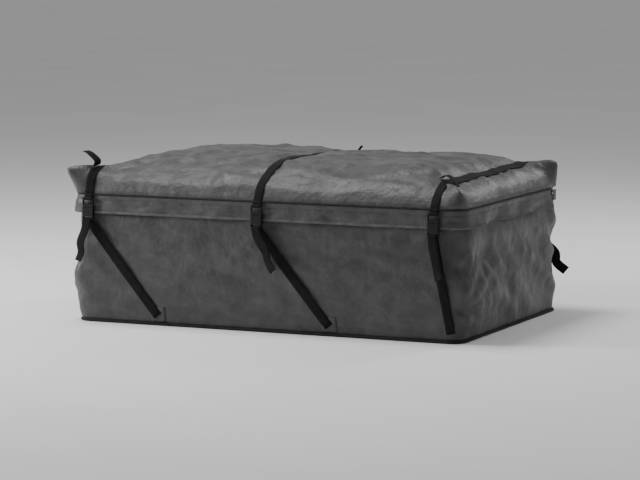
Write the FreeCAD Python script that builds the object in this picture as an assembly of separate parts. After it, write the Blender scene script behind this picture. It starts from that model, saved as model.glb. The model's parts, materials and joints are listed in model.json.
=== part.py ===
"""Soft rooftop cargo bag: a fabric tub, a domed zip-round lid, and six buckled tie-down straps.

All sizes are millimetres. The origin is the middle of the base, on the surface the bag rests on.
+X runs along the bag towards the vehicle's rear, -Y is the near long side and +Z is up.
The lid is sewn to the far long side and unzips round the near side and both ends.
"""

import FreeCAD
import Part
import os
from math import cos, radians, sin

V = FreeCAD.Vector

# ---- driving dimensions -------------------------------------------------------------------------
WALL_LENGTH = 1100.0        # outside of the fabric walls, along X
WALL_WIDTH = 720.0          # outside of the fabric walls, along Y
RIM_HEIGHT = 345.0          # where the lid panel starts
CROWN_RISE = 90.0           # how far the stuffed lid stands above the rim
CROWN_RUN = 215.0           # how far in from the rim the lid keeps rising
CORNER_RADIUS = 35.0        # upright corners of the tub
FABRIC = 3.0                # coated fabric with its lining
WEB_WIDTH = 25.0            # tie-down webbing
WEB_THICK = 1.5
FLAP_GAP = 9.0              # room behind the rain flap for the zip
FLAP_THICK = 2.5
FLAP_DROP = 53.0            # rim down to the flap's lower edge
STRAP_PITCH = 495.0         # between straps along the bag
STRAP_SHIFT = -12.0         # the middle strap stands a little forward of the middle

# ---- sizes that follow --------------------------------------------------------------------------
HALF_LENGTH = WALL_LENGTH / 2
HALF_WIDTH = WALL_WIDTH / 2
FLAP_PROUD = FLAP_GAP + FLAP_THICK
PIPING_RADIUS = 2.5                      # bead in the rim seam
BASE_PIPING_RADIUS = 4.0                 # heavier bead in the base seam
FLAP_TOP = RIM_HEIGHT - 2 * PIPING_RADIUS
BINDING_HEIGHT = 7.0                     # binding folded over the flap's lower edge
SKIRT_BOTTOM = RIM_HEIGHT - 19.0
STRAP_GAP = 0.2                          # from the cloth to the straps laid over it
WALL_TOP = RIM_HEIGHT - 33.0
FAR_WALL_TOP = RIM_HEIGHT - 2.0
HIGH_CORNER_START = HALF_WIDTH - 15.0    # past here the end walls stand up to the hinge seam
DOME_STEPS = 6
STRAP_X = [STRAP_SHIFT + STRAP_PITCH * step for step in (-1, 0, 1)]
STRAP_NAMES = ("front", "middle", "rear")
STRAP_LEAN = (200.0, 200.0, 45.0)        # each tie-down strap runs down and towards the rear

# ---- zip ----------------------------------------------------------------------------------------
COIL_HEIGHT = 3.0
COIL_THICK = 2.6
COIL_SPLIT = WALL_TOP + 7.0              # the lower coil ends here
COIL_CLEAR = 0.4
TAPE_THICK = 0.8
LOWER_TAPE_LAP = 8.0                     # how far the lower tape laps down over the walls
UPPER_TAPE_HEIGHT = 12.0
TAB_THICK = 1.2                          # stitched tab over each end of the zip
TAB_GAP = 0.3                            # from the tape to what lies over it
ZIP_END = HALF_WIDTH - 27.0              # the zip stops short of the hinge seam
SKIRT_END = HALF_WIDTH - 20.0
FLAP_END = HALF_WIDTH - 75.0             # the flap leaves each zip end in reach
SLIDER_Y = ZIP_END - 17.0
PLATE_LOW = HALF_LENGTH + TAPE_THICK + TAB_GAP    # inner face of the slider's plate
PLATE_HIGH = PLATE_LOW + 2.1
PIN_X = PLATE_HIGH + 2.6                 # pin that the pull swings on
PIN_Z = COIL_SPLIT + COIL_CLEAR / 2
PULL_LENGTH = 26.0

# ---- buckles ------------------------------------------------------------------------------------
BUCKLE_WIDTH = 33.0
SOCKET_THICK = 10.0
SOCKET_LENGTH = 34.0
PLUG_THICK = 7.0
PLUG_LENGTH = 28.0
PRONG_LENGTH = 22.0
BUCKLE_STANDOFF = 8.5                    # from the backing fabric to the buckle's middle plane
MOUTH_HEIGHT = RIM_HEIGHT - 36.0         # plug and socket meet here on the near side
FAR_BUCKLE_DROP = 60.0                   # far buckles hang lower, clear of the folded-back lid
BAR = 5.0                                # webbing bar of plug and socket
LOOP_INNER = 0.5                         # webbing loop to bar
SLOT_HALF = 13.0                         # half the webbing slot's width
WALL_OF_MOUTH = 1.5                      # plastic round the socket's mouth, front and back
PRONG_HALF = 1.8                         # half a prong's thickness

# ---- tie-downs ----------------------------------------------------------------------------------
PATCH_THICK = 1.2                        # anchor patches under the straps' lower ends
PATCH_HALF = 20.0
PATCH_LOW = 10.0
FOOT_HEIGHT = 26.0                       # where a strap's lower end is sewn down
TAIL_DROP = 115.0                        # free tail below the buckle
TAIL_SWING = 28.0
DROP_GAP = 0.3                           # from the far wall to its straps


def box(low, high):
    """Box between two opposite corners."""
    size = [b - a for a, b in zip(low, high)]
    return Part.makeBox(size[0], size[1], size[2], V(*low))


def outline(x_half, y_low, y_high, radius, z):
    """Rounded rectangle wire, symmetric in X."""
    half_root = radius * (1 - cos(radians(45)))
    edges = []
    corners = [(x_half, y_low, 1, -1), (x_half, y_high, 1, 1),
               (-x_half, y_high, -1, 1), (-x_half, y_low, -1, -1)]
    arcs = []
    for index, (x, y, sx, sy) in enumerate(corners):
        along_x = V(x - sx * radius, y, z)
        along_y = V(x, y - sy * radius, z)
        middle = V(x - sx * half_root, y - sy * half_root, z)
        start, end = (along_x, along_y) if index % 2 == 0 else (along_y, along_x)
        arcs.append((start, middle, end))
    for index, (start, middle, end) in enumerate(arcs):
        edges.append(Part.Arc(start, middle, end).toShape())
        following = arcs[(index + 1) % 4][0]
        edges.append(Part.LineSegment(end, following).toShape())
    return Part.Wire(edges)


def wall_outline(proud, z):
    """Outline of the tub walls, grown outwards by proud."""
    return outline(HALF_LENGTH + proud, -HALF_WIDTH - proud, HALF_WIDTH + proud, CORNER_RADIUS + proud, z)


def slab(proud, z_low, z_high):
    """Solid plate with the tub's outline."""
    return Part.Face(wall_outline(proud, z_low)).extrude(V(0, 0, z_high - z_low))


def band(proud, thick, z_low, z_high):
    """Upright ring of fabric whose outside stands proud of the tub walls."""
    return slab(proud, z_low, z_high).cut(slab(proud - thick, z_low - 1, z_high + 1))


def open_band(proud, thick, z_low, z_high, y_end):
    """Upright band round the near side and both ends only, stopping at y_end."""
    far_block = box((-2 * HALF_LENGTH, y_end, z_low - 1), (2 * HALF_LENGTH, 2 * HALF_WIDTH, z_high + 1))
    return band(proud, thick, z_low, z_high).cut(far_block)


def mirror_y(shape):
    """The same shape on the other long side."""
    return shape.mirror(V(0, 0, 0), V(0, 1, 0))


def moved(shape, x, y, z):
    """A moved copy."""
    copy = shape.copy()
    copy.translate(V(x, y, z))
    return copy


def export(name, shapes):
    """Writes one node. Several equal pieces stay separate solids."""
    shape = shapes if not isinstance(shapes, list) else Part.makeCompound(shapes)
    shape.exportStep("parts/" + name + ".step")
    print(name, "solids", len(shape.Solids), "cm3", round(shape.Volume / 1000, 2), "valid", shape.isValid())


# ---- lid envelope -------------------------------------------------------------------------------
def dome_profile():
    """Inset and height of each level of the domed lid, along a quarter ellipse."""
    levels = []
    for step in range(DOME_STEPS + 1):
        angle = radians(90 * step / DOME_STEPS)
        levels.append((CROWN_RUN * (1 - cos(angle)), RIM_HEIGHT + CROWN_RISE * sin(angle)))
    return levels


def lid_outline(inset, z):
    """Outline of the lid: proud of the walls at the near side and ends, flush at the hinge side."""
    x_half = HALF_LENGTH + FLAP_PROUD - inset
    y_low = -HALF_WIDTH - FLAP_PROUD + inset
    y_high = HALF_WIDTH - inset
    return outline(x_half, y_low, y_high, CORNER_RADIUS + FLAP_PROUD, z)


def envelope(grow, z_low):
    """Solid under the lid's outer surface, grown by grow, reaching straight down to z_low."""
    wires = [lid_outline(-grow, z_low)]
    for inset, height in dome_profile():
        wires.append(lid_outline(inset - grow, height + grow))
    return Part.makeLoft(wires, True, True)


def lid_hollow():
    """Room under the lid panel. Its edge leaves the rim wide enough to meet the skirt."""
    rim_width = FLAP_PROUD + FABRIC
    wires = [lid_outline(rim_width, RIM_HEIGHT - 1)]
    for inset, height in dome_profile()[1:]:
        wires.append(lid_outline(max(inset + FABRIC, rim_width), height - FABRIC))
    return Part.makeLoft(wires, True, True)


def lid_skin(inner, outer, low, high):
    """Part of a skin that follows the lid, between two growths, inside a box."""
    z_low = low[2] - 1
    return envelope(outer, z_low).cut(envelope(inner, z_low - 1)).common(box(low, high))


# ---- tub ----------------------------------------------------------------------------------------
def base_panel():
    """Bottom panel of the tub."""
    return slab(0, 0, FABRIC)


def end_zone(side):
    """Block that holds one end of the bag: the end wall and its two upright corners."""
    near_corner = HALF_LENGTH - CORNER_RADIUS
    low = (near_corner, -2 * HALF_WIDTH, 0)
    high = (2 * HALF_LENGTH, 2 * HALF_WIDTH, 2 * RIM_HEIGHT)
    zone = box(low, high)
    return zone if side > 0 else zone.mirror(V(0, 0, 0), V(1, 0, 0))


def long_wall(side):
    """Near or far side panel between the corners. The far one is taller, up to the hinge seam."""
    top = WALL_TOP if side < 0 else FAR_WALL_TOP
    x_half = HALF_LENGTH - CORNER_RADIUS
    y_faces = sorted((side * HALF_WIDTH, side * (HALF_WIDTH - FABRIC)))
    return box((-x_half, y_faces[0], FABRIC), (x_half, y_faces[1], top))


def end_wall(side):
    """Front or rear panel with both rounded corners; its far corner reaches up to the hinge seam."""
    low_part = band(0, FABRIC, FABRIC, WALL_TOP)
    high_part = band(0, FABRIC, WALL_TOP, FAR_WALL_TOP)
    keep = box((-2 * HALF_LENGTH, HIGH_CORNER_START, 0), (2 * HALF_LENGTH, 2 * HALF_WIDTH, 2 * RIM_HEIGHT))
    return low_part.fuse(high_part.common(keep)).common(end_zone(side)).removeSplitter()


def piping(path, radius):
    """Round bead of piping swept along a path that starts along X or Y."""
    start = path.OrderedVertexes[0].Point
    edge = path.OrderedEdges[0]
    tangent = edge.tangentAt(edge.FirstParameter)
    section = Part.Wire([Part.makeCircle(radius, start, tangent)])
    return path.makePipeShell([section], True, True)


def base_piping():
    """Bead round the base seam. Its path starts half way along a straight side."""
    edges = wall_outline(BASE_PIPING_RADIUS, BASE_PIPING_RADIUS).OrderedEdges
    side = edges[1]
    halves = side.split((side.FirstParameter + side.LastParameter) / 2).Edges
    path = Part.Wire([halves[1]] + edges[2:] + [edges[0], halves[0]])
    start = halves[1].valueAt(halves[1].FirstParameter)
    section = Part.Wire([Part.makeCircle(BASE_PIPING_RADIUS, start, side.tangentAt(side.FirstParameter))])
    return path.makePipeShell([section], True, True)


# ---- zip ----------------------------------------------------------------------------------------
def lower_zip_tape():
    """Tape that carries the lower coil, lapped over the top of the walls."""
    return open_band(TAPE_THICK, TAPE_THICK, WALL_TOP - LOWER_TAPE_LAP, COIL_SPLIT - COIL_HEIGHT, ZIP_END)


def upper_zip_tape():
    """Tape that carries the upper coil, lapped over the skirt."""
    low = COIL_SPLIT + COIL_CLEAR + COIL_HEIGHT
    return open_band(TAPE_THICK, TAPE_THICK, low, low + UPPER_TAPE_HEIGHT, ZIP_END)


def zip_coil(z_low):
    """One half of the zip's coil."""
    return open_band(TAPE_THICK, COIL_THICK, z_low, z_low + COIL_HEIGHT, ZIP_END)


def zip_end_tab(side):
    """Stitched tab over one end of the zip."""
    x_low = HALF_LENGTH + TAPE_THICK + TAB_GAP
    tab = box((x_low, ZIP_END - 5, WALL_TOP - 6), (x_low + TAB_THICK, ZIP_END + 17, FAR_WALL_TOP - 8))
    return tab if side > 0 else tab.mirror(V(0, 0, 0), V(1, 0, 0))


def slider(side):
    """Zip slider: a waisted plate over the coil and two ears holding the pull's pin."""
    plate = box((PLATE_LOW, SLIDER_Y - 8, PIN_Z - 5), (PLATE_HIGH, SLIDER_Y + 8, PIN_Z + 5))
    plate = plate.makeFillet(2.5, [edge for edge in plate.Edges if abs(edge.tangentAt(0).x) > 0.9])
    ears = []
    for z_low in (PIN_Z - 4.6, PIN_Z + 3.2):
        ears.append(box((PLATE_HIGH - 0.5, SLIDER_Y - 2, z_low), (PIN_X + 1.6, SLIDER_Y + 2, z_low + 1.4)))
    pin = Part.makeCylinder(1.0, 8.0, V(PIN_X, SLIDER_Y, PIN_Z - 4))
    body = plate.fuse(ears + [pin]).removeSplitter()
    return body if side > 0 else body.mirror(V(0, 0, 0), V(1, 0, 0))


def pull(side):
    """Pull tab on the slider's pin, lying flat along the zip."""
    eye = Part.makeCylinder(2.3, 5.6, V(PIN_X, SLIDER_Y, PIN_Z - 2.8))
    stem = box((PIN_X - 0.8, SLIDER_Y - PULL_LENGTH, PIN_Z - 2.8), (PIN_X + 0.8, SLIDER_Y - 1.8, PIN_Z + 2.8))
    stem = stem.makeFillet(2.0, [edge for edge in stem.Edges
                                 if abs(edge.tangentAt(0).x) > 0.9 and edge.CenterOfMass.y < SLIDER_Y - 20])
    hole = Part.makeCylinder(1.4, 8.0, V(PIN_X, SLIDER_Y, PIN_Z - 4))
    slot = box((PIN_X - 2, SLIDER_Y - 22, PIN_Z - 1.2), (PIN_X + 2, SLIDER_Y - 12, PIN_Z + 1.2))
    body = eye.fuse(stem).cut(hole).cut(slot)
    return body if side > 0 else body.mirror(V(0, 0, 0), V(1, 0, 0))


# ---- lid ----------------------------------------------------------------------------------------
def lid_panel():
    """Domed top panel."""
    low = (-2 * HALF_LENGTH, -2 * HALF_WIDTH, RIM_HEIGHT)
    above_rim = box(low, (2 * HALF_LENGTH, 2 * HALF_WIDTH, 2 * RIM_HEIGHT))
    return envelope(0, RIM_HEIGHT - 5).common(above_rim).cut(lid_hollow())


def lid_skirt():
    """Short upright band that joins the lid panel to the upper zip tape."""
    return open_band(0, FABRIC, SKIRT_BOTTOM, RIM_HEIGHT, SKIRT_END)


def storm_flap():
    """Rain flap hanging over the zip."""
    return open_band(FLAP_PROUD, FLAP_THICK, RIM_HEIGHT - FLAP_DROP + BINDING_HEIGHT, FLAP_TOP, FLAP_END)


def flap_binding():
    """Folded binding along the flap's lower edge."""
    low = RIM_HEIGHT - FLAP_DROP
    return open_band(FLAP_PROUD, FLAP_THICK, low, low + BINDING_HEIGHT, FLAP_END)


def rim_path(proud, z, y_end):
    """Open path round the near side and both ends at one height."""
    x_half = HALF_LENGTH + proud
    y_low = -HALF_WIDTH - proud
    radius = CORNER_RADIUS + proud
    offset = radius * (1 - cos(radians(45)))
    points = [V(-x_half, y_end, z), V(-x_half, y_low + radius, z), V(-x_half + radius, y_low, z),
              V(x_half - radius, y_low, z), V(x_half, y_low + radius, z), V(x_half, y_end, z)]
    front_middle = V(-x_half + offset, y_low + offset, z)
    rear_middle = V(x_half - offset, y_low + offset, z)
    return Part.Wire([Part.LineSegment(points[0], points[1]).toShape(),
                      Part.Arc(points[1], front_middle, points[2]).toShape(),
                      Part.LineSegment(points[2], points[3]).toShape(),
                      Part.Arc(points[3], rear_middle, points[4]).toShape(),
                      Part.LineSegment(points[4], points[5]).toShape()])


def rim_piping():
    """Bead between the lid panel and the flap."""
    return piping(rim_path(FLAP_PROUD - PIPING_RADIUS, RIM_HEIGHT - PIPING_RADIUS, FLAP_END), PIPING_RADIUS)


def lid_strap(x):
    """Webbing sewn across the lid, from the hinge seam over the crown and down past the near rim."""
    half = WEB_WIDTH / 2
    all_along_y = ((x - half, -2 * HALF_WIDTH, MOUTH_HEIGHT + 8),
                   (x + half, HALF_WIDTH - 0.5, 2 * RIM_HEIGHT))
    far_seam = box((x - half, 0, 0), (x + half, 2 * HALF_WIDTH, RIM_HEIGHT + 0.5))
    return lid_skin(STRAP_GAP, STRAP_GAP + WEB_THICK, *all_along_y).cut(far_seam)


# ---- buckles, drawn round x = 0, y = 0 (middle plane), z = 0 (where plug meets socket) ---------
def rounded_block(x_half, y_half, z_low, z_high, radius):
    """Block with its four edges along Z rounded."""
    block = box((-x_half, -y_half, z_low), (x_half, y_half, z_high))
    return block.makeFillet(radius, [edge for edge in block.Edges if abs(edge.tangentAt(0).z) > 0.9])


def buckle_socket():
    """Female half: mouth for the prongs, side windows, and a slot and bar for the webbing."""
    x_half = BUCKLE_WIDTH / 2
    y_half = SOCKET_THICK / 2
    shell = rounded_block(x_half, y_half, -SOCKET_LENGTH, 0, 3.0)
    mouth_half = y_half - WALL_OF_MOUTH
    mouth = box((-13.6, -mouth_half, -PRONG_LENGTH - 1.5), (13.6, mouth_half, 1))
    windows = box((-x_half - 1, -2.8, -PRONG_LENGTH + 1), (x_half + 1, 2.8, -PRONG_LENGTH + 13))
    slot_low = -SOCKET_LENGTH + BAR
    slot = box((-SLOT_HALF, -y_half - 1, slot_low), (SLOT_HALF, y_half + 1, slot_low + 4.5))
    shave = 2.0
    bar_front = box((-SLOT_HALF, BAR / 2, -SOCKET_LENGTH - 1), (SLOT_HALF, y_half + 1, slot_low + shave))
    return shell.cut([mouth, windows, slot, bar_front, mirror_y(bar_front)])


def buckle_plug():
    """Male half: ladder frame with a webbing bar on top and three prongs below."""
    x_half = BUCKLE_WIDTH / 2
    y_half = PLUG_THICK / 2
    frame = rounded_block(x_half, y_half, 0.5, PLUG_LENGTH - 2, 3.0)
    slot = box((-SLOT_HALF, -y_half - 1, 9.0), (SLOT_HALF, y_half + 1, PLUG_LENGTH - 2 - BAR))
    bar_trim = box((-SLOT_HALF, BAR / 2, 9.0), (SLOT_HALF, y_half + 1, PLUG_LENGTH))
    frame = frame.cut([slot, bar_trim, mirror_y(bar_trim)])
    prongs = []
    for x_low, x_high, short in ((-12.2, -8.7, 0), (8.7, 12.2, 0), (-PRONG_HALF, PRONG_HALF, 3)):
        prongs.append(box((x_low, -PRONG_HALF, short - PRONG_LENGTH), (x_high, PRONG_HALF, 1.5)))
    return frame.fuse(prongs).removeSplitter()


def web_loop(z_bar, leg_low, leg_high, side):
    """Webbing round a bar whose middle is at z_bar, with a leg behind it between two heights."""
    inner = BAR / 2 + LOOP_INNER
    outer = inner + WEB_THICK
    half = WEB_WIDTH / 2
    ring = box((-half, -outer, z_bar - outer), (half, outer, z_bar + outer))
    ring = ring.makeFillet(outer - 0.6, [edge for edge in ring.Edges if abs(edge.tangentAt(0).x) > 0.9])
    hole = box((-half - 1, -inner, z_bar - inner), (half + 1, inner, z_bar + inner))
    hole = hole.makeFillet(inner - 1.8, [edge for edge in hole.Edges if abs(edge.tangentAt(0).x) > 0.9])
    back = sorted((-side * outer, -side * inner))
    leg = box((-half, back[0], leg_low), (half, back[1], leg_high))
    return ring.cut(hole).fuse(leg).removeSplitter()


def buckle_y(side):
    """Middle plane of the buckles on one side."""
    backing = HALF_WIDTH + FLAP_PROUD if side < 0 else HALF_WIDTH
    return side * (backing + BUCKLE_STANDOFF)


def buckle_z(side):
    """Height where plug and socket meet on one side."""
    return MOUTH_HEIGHT if side < 0 else MOUTH_HEIGHT - FAR_BUCKLE_DROP


def place(shape, x, side):
    """Puts a buckle piece at its strap."""
    return moved(shape, x, buckle_y(side), buckle_z(side))


def plug_web(side):
    """Webbing on a plug's bar with the short leg that joins it to the strap above."""
    z_bar = PLUG_LENGTH - 2 - BAR / 2
    return web_loop(z_bar, z_bar, RIM_HEIGHT - MOUTH_HEIGHT + 1, side)


# ---- tie-down straps ----------------------------------------------------------------------------
def ribbon(start, end):
    """Flat webbing from start to end, lying against a long side."""
    direction = (end - start).normalize()
    across = direction.cross(V(0, 1, 0)).normalize()
    normal = direction.cross(across).normalize()
    corner = start - across * (WEB_WIDTH / 2) - normal * (WEB_THICK / 2)
    points = [corner, corner + across * WEB_WIDTH, corner + across * WEB_WIDTH + normal * WEB_THICK,
              corner + normal * WEB_THICK, corner]
    return Part.Face(Part.makePolygon(points)).extrude(end - start)


def tie_down_end(index, side):
    """Lower end of a tie-down strap, on its anchor patch."""
    return V(STRAP_X[index] + STRAP_LEAN[index], side * (HALF_WIDTH + PATCH_THICK + WEB_THICK), FOOT_HEIGHT)


def tie_down_strap(index, side):
    """Strap on the socket's bar: one strand sewn down at the base, and its free tail hanging."""
    x = STRAP_X[index]
    z_bar = -SOCKET_LENGTH + BAR / 2
    reach = BAR / 2 + LOOP_INNER + WEB_THICK
    loop = place(web_loop(z_bar, z_bar - 1, z_bar, side), x, side)
    foot = buckle_z(side) + z_bar - reach
    top = V(x, buckle_y(side), foot + 1.5)
    strand = ribbon(top, tie_down_end(index, side))
    tail_top = V(x, buckle_y(side) + side * (reach - WEB_THICK / 2), foot + 3)
    tail = ribbon(tail_top, tail_top + V(TAIL_SWING, 0, -TAIL_DROP))
    below_bar = box((-2 * HALF_LENGTH, -2 * HALF_WIDTH, 0), (2 * HALF_LENGTH, 2 * HALF_WIDTH, foot + 1))
    return loop.fuse([strand.common(below_bar), tail.common(below_bar)]).removeSplitter()


def anchor_patch(index, side):
    """Square patch sewn on the wall under a strap's lower end."""
    end = tie_down_end(index, side)
    y_faces = sorted((side * (HALF_WIDTH - CORNER_RADIUS), side * 2 * HALF_WIDTH))
    place_on_wall = box((end.x - PATCH_HALF, y_faces[0], 0), (end.x + PATCH_HALF, y_faces[1], RIM_HEIGHT))
    return band(PATCH_THICK, PATCH_THICK, PATCH_LOW, PATCH_LOW + 2 * PATCH_HALF).common(place_on_wall)


def strap_drop(x):
    """Far strap from the hinge seam down the wall, behind the far plug."""
    half = WEB_WIDTH / 2
    low = (x - half, HALF_WIDTH + DROP_GAP, MOUTH_HEIGHT - FAR_BUCKLE_DROP + 12)
    return box(low, (x + half, HALF_WIDTH + DROP_GAP + WEB_THICK, FAR_WALL_TOP))


# ---- all nodes ----------------------------------------------------------------------------------
def main():
    """Writes every node."""
    os.makedirs("parts", exist_ok=True)
    both = ((-1, "near"), (1, "far"))
    ends = ((-1, "front"), (1, "rear"))

    export("base_panel", base_panel())
    export("base_piping", base_piping())
    for side, name in both:
        export(name + "_wall", long_wall(side))
    for side, name in ends:
        export(name + "_wall", end_wall(side))

    export("lower_zip_tape", lower_zip_tape())
    export("upper_zip_tape", upper_zip_tape())
    export("lower_zip_coil", zip_coil(COIL_SPLIT - COIL_HEIGHT))
    export("upper_zip_coil", zip_coil(COIL_SPLIT + COIL_CLEAR))
    export("zip_end_tabs", [zip_end_tab(side) for side, _ in ends])
    for side, name in ends:
        export(name + "_zip_slider", slider(side))
        export(name + "_zip_pull", pull(side))

    export("lid_panel", lid_panel())
    export("lid_skirt", lid_skirt())
    export("storm_flap", storm_flap())
    export("flap_binding", flap_binding())
    export("rim_piping", rim_piping())
    export("lid_straps", [lid_strap(x) for x in STRAP_X])

    socket = buckle_socket()
    plug = buckle_plug()
    for side, name in both:
        export(name + "_buckle_sockets", [place(socket, x, side) for x in STRAP_X])
        export(name + "_tie_down_straps", [tie_down_strap(index, side) for index in range(3)])
        for x, strap in zip(STRAP_X, STRAP_NAMES):
            export(name + "_" + strap + "_plug", place(plug, x, side))
            export(name + "_" + strap + "_plug_web", place(plug_web(side), x, side))
    export("far_strap_drops", [strap_drop(x) for x in STRAP_X])
    export("anchor_patches", [anchor_patch(index, side) for index in range(3) for side, _ in both])


main()
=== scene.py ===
"""Looks of a soft rooftop cargo bag: stuffed fabric shells, rain flap, zip, webbing and buckles.

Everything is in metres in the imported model's frame: +X towards the vehicle's rear, -Y the near long
side, +Z up. Sizes come from the frame's boxes. The tub and the lid start as plain lofted shells. A short
simulation lets their cloth grow so that it buckles, and displacement then adds the creases.
"""
import json
import math

import bpy
import numpy as np
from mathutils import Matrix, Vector, noise
from mathutils.bvhtree import BVHTree


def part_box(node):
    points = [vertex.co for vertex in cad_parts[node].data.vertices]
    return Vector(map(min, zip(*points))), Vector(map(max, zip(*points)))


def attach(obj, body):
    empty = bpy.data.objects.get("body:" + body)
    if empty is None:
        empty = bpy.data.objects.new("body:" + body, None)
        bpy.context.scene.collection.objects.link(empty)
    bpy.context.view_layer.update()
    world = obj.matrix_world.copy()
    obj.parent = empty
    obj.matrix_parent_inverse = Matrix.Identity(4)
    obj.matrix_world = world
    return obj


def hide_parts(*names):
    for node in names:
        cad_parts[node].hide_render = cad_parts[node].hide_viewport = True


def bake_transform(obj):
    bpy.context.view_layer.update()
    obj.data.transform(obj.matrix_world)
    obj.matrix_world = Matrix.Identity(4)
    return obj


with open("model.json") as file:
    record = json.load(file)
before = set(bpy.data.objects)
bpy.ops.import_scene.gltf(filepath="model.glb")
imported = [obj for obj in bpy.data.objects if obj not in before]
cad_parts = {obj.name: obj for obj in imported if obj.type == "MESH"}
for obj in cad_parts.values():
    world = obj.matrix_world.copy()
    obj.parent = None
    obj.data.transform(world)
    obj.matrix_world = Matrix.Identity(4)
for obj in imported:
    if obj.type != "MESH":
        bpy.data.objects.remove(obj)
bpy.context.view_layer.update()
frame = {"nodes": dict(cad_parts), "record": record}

# ---- sizes read from the frame ----
HALF_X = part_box("base_panel")[1].x
HALF_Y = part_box("base_panel")[1].y
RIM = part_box("lid_panel")[0].z
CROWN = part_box("lid_panel")[1].z
WALL_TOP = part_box("near_wall")[1].z
FAR_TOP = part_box("far_wall")[1].z
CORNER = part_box("front_wall")[1].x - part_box("front_wall")[0].x
PROUD = -HALF_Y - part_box("storm_flap")[0].y
FLAP_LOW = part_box("flap_binding")[0].z
FLAP_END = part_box("storm_flap")[1].y
ZIP_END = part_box("lower_zip_tape")[1].y
SKIRT_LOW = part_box("lid_skirt")[0].z
COIL_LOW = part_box("lower_zip_coil")[0].z
COIL_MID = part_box("lower_zip_coil")[1].z
COIL_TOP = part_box("upper_zip_coil")[1].z
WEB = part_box("far_middle_plug_web")[1].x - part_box("far_middle_plug_web")[0].x
STRAP_NAMES = ("front", "middle", "rear")
SIDES = (("near", -1), ("far", 1))
FABRIC = 0.003
WEB_THICK = 0.0015
CELL = 0.012                    # spacing of the cloth grid
BASE_Z = 0.0032                 # height of the tub's base cloth
SEAM_STEP = 0.013               # the walls' edge is high within this distance of the hinge seam
SETTLE_FRAMES = 28


def middle(node):
    """Middle of a CAD node's box."""
    low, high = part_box(node)
    return (low + high) / 2


STRAP_X = [middle("near_" + name + "_plug").x for name in STRAP_NAMES]
BUCKLES = [(side_name, side, name, x)
           for side_name, side in SIDES for name, x in zip(STRAP_NAMES, STRAP_X)]
FEET = {mount["name"]: Vector(mount["pos_m"]) for mount in frame["record"]["mounts"]}


# ---- mesh helpers ----
def new_object(name, points, faces):
    """Mesh object from points and faces."""
    mesh = bpy.data.meshes.new(name)
    mesh.from_pydata([tuple(p) for p in points], [], [tuple(f) for f in faces])
    mesh.validate()
    piece = bpy.data.objects.new(name, mesh)
    bpy.context.scene.collection.objects.link(piece)
    return piece


def finish_piece(piece, material, body, replaced=(), smooth=True):
    """Gives a piece its material and body, and hides the CAD nodes that it stands for."""
    piece.data.materials.clear()
    piece.data.materials.append(material)
    for polygon in piece.data.polygons:
        polygon.use_smooth = smooth
    if body is not None:
        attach(piece, body)
    if replaced:
        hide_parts(*replaced)
    return piece


def apply_modifiers(piece):
    """Replaces the mesh by what its modifiers make of it."""
    graph = bpy.context.evaluated_depsgraph_get()
    graph.update()
    mesh = bpy.data.meshes.new_from_object(piece.evaluated_get(graph))
    piece.modifiers.clear()
    old = piece.data
    piece.data = mesh
    bpy.data.meshes.remove(old)


def subdivide(piece):
    """One level of smooth subdivision, applied."""
    modifier = piece.modifiers.new("Subdivide", "SUBSURF")
    modifier.levels = 1
    modifier.render_levels = 1
    apply_modifiers(piece)


def thicken(piece, thickness, offset=-1.0):
    """Gives a one-sided sheet its thickness, applied."""
    modifier = piece.modifiers.new("Thickness", "SOLIDIFY")
    modifier.thickness = thickness
    modifier.offset = offset
    modifier.use_even_offset = False
    apply_modifiers(piece)


def read_points(piece):
    """Vertex positions as an array."""
    points = np.empty(len(piece.data.vertices) * 3)
    piece.data.vertices.foreach_get("co", points)
    return points.reshape(-1, 3)


def write_points(piece, points):
    """Sets vertex positions from an array."""
    piece.data.vertices.foreach_set("co", np.asarray(points, float).ravel())
    piece.data.update()


def vertex_normals(piece):
    """Vertex normals as an array."""
    return np.array([v.normal for v in piece.data.vertices])


def end_share(points, width):
    """1 at the tub's ends, falling to 0 over a width towards the middle."""
    return np.clip((np.abs(points[:, 0]) - (HALF_X - width)) / width, 0, 1)


def near_straps(x, width):
    """1 on each strap's line, fading away to both sides."""
    return np.max([bump_curve(x - strap_x, width) for strap_x in STRAP_X], axis=0)


def push_out(piece, move):
    """Moves each vertex along its normal."""
    write_points(piece, read_points(piece) + vertex_normals(piece) * move[:, None])


def noise_field(points, scale, seed):
    """Smooth noise, about -1 to 1, at points divided by scale (a number or one per axis)."""
    shift = Vector((seed * 7.31, seed * 3.17, seed * 5.77))
    return np.array([noise.noise(Vector(p) + shift) for p in np.asarray(points) / np.asarray(scale)])


def crease_field(points, scale, seed, width=0.12):
    """Narrow rounded ridges, 0 to 1, where smooth noise crosses zero."""
    return np.exp(-(noise_field(points, scale, seed) / width) ** 2)


def facet_field(points, scale, seed):
    """Crumpled cloth: (height, ridge) of flat facets that meet in straight, broken ridges, each 0 to 1."""
    points = np.asarray(points)
    warp = np.column_stack([noise_field(points, 0.09, seed + axis) for axis in (50, 51, 52)]) * 0.35
    places = points / np.asarray(scale) + warp
    shift = Vector((seed * 2.3, seed * 4.1, seed * 1.7))
    nearest = np.array([noise.voronoi(Vector(p) + shift)[0][:2] for p in places])
    height = np.clip(1 - nearest[:, 0], 0, 1)
    ridge = np.exp(-((nearest[:, 1] - nearest[:, 0]) / 0.10) ** 2)
    broken = np.clip(0.5 + noise_field(points, 0.07, seed + 60) * 1.6, 0, 1)
    return height, ridge * broken


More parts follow.
